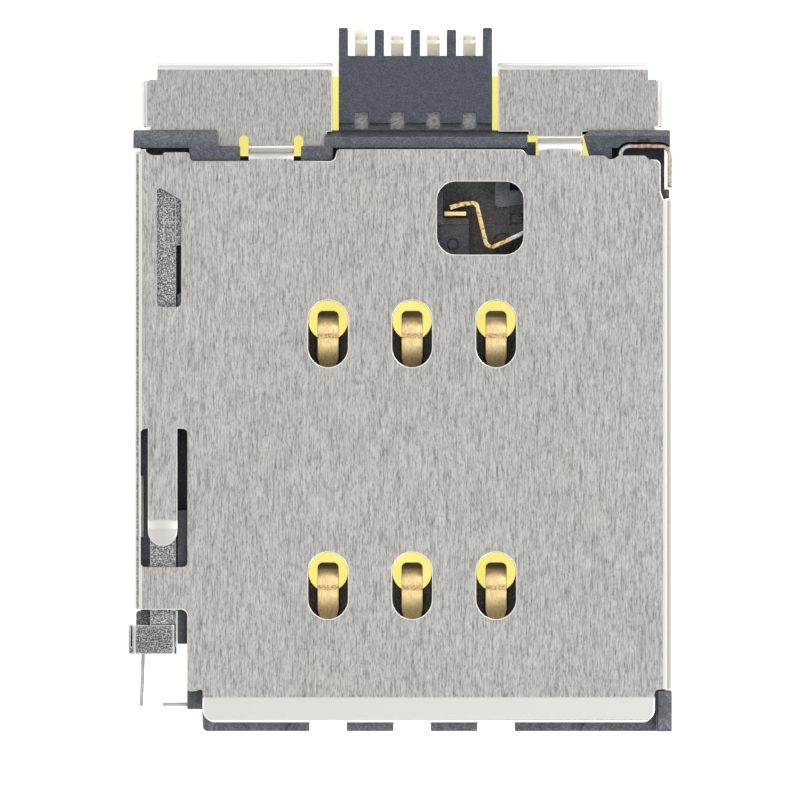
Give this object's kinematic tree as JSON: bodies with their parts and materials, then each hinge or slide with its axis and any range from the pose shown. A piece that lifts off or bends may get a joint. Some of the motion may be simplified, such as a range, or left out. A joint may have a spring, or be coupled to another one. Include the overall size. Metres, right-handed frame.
{
  "type": "sim card socket",
  "caption": "Flat board-mounted socket for a small chip card: folded steel cover over a dark moulded housing, gold spring contacts, detect switch, push rod and eject lever.",
  "frame": {"origin": "middle of the footprint, on the board under the insulating film", "axes": "+Y from the card's mouth to the comb of tails, +Z away from the board, +X to the right seen from above"},
  "size_m": [0.0164, 0.0212, 0.002],
  "materials": {
    "brushed_stainless": "brushed along the card's way, cut edges rolled bright",
    "rough_steel": "rough speckled steel",
    "housing_plastic": "dark blue-grey moulding",
    "gold_plate": "thin bright gold plating",
    "polyimide_film": "clear yellow film"
  },
  "bodies": {
    "socket": {"cover": "brushed_stainless", "housing": "housing_plastic", "insulating_film": "polyimide_film", "card_contact_upper_1": "gold_plate", "card_contact_upper_2": "gold_plate", "card_contact_upper_3": "gold_plate", "card_contact_lower_1": "gold_plate", "card_contact_lower_2": "gold_plate", "card_contact_lower_3": "gold_plate", "detect_spring": "gold_plate", "detect_contact": "gold_plate", "side_leaf_spring": "brushed_stainless", "front_leaf_strip": "brushed_stainless"},
    "rod": {"push_rod": "rough_steel"},
    "lever": {"eject_lever": "rough_steel"}
  },
  "joints": [
    {"name": "rod_slide", "type": "slide", "parent": "socket", "child": "rod", "axis": [0, 1, 0], "range_m": [-0.0014, 0]},
    {"name": "lever_pivot", "type": "hinge", "parent": "socket", "child": "lever", "pos_m": [-0.0033, 0.0057, 0.00117], "axis": [0, 0, 1], "range_deg": [0, 23]}
  ],
  "couplings": [
    {"joint": "lever_pivot", "follows": "rod_slide", "rad_per_m": -280.5}
  ]
}
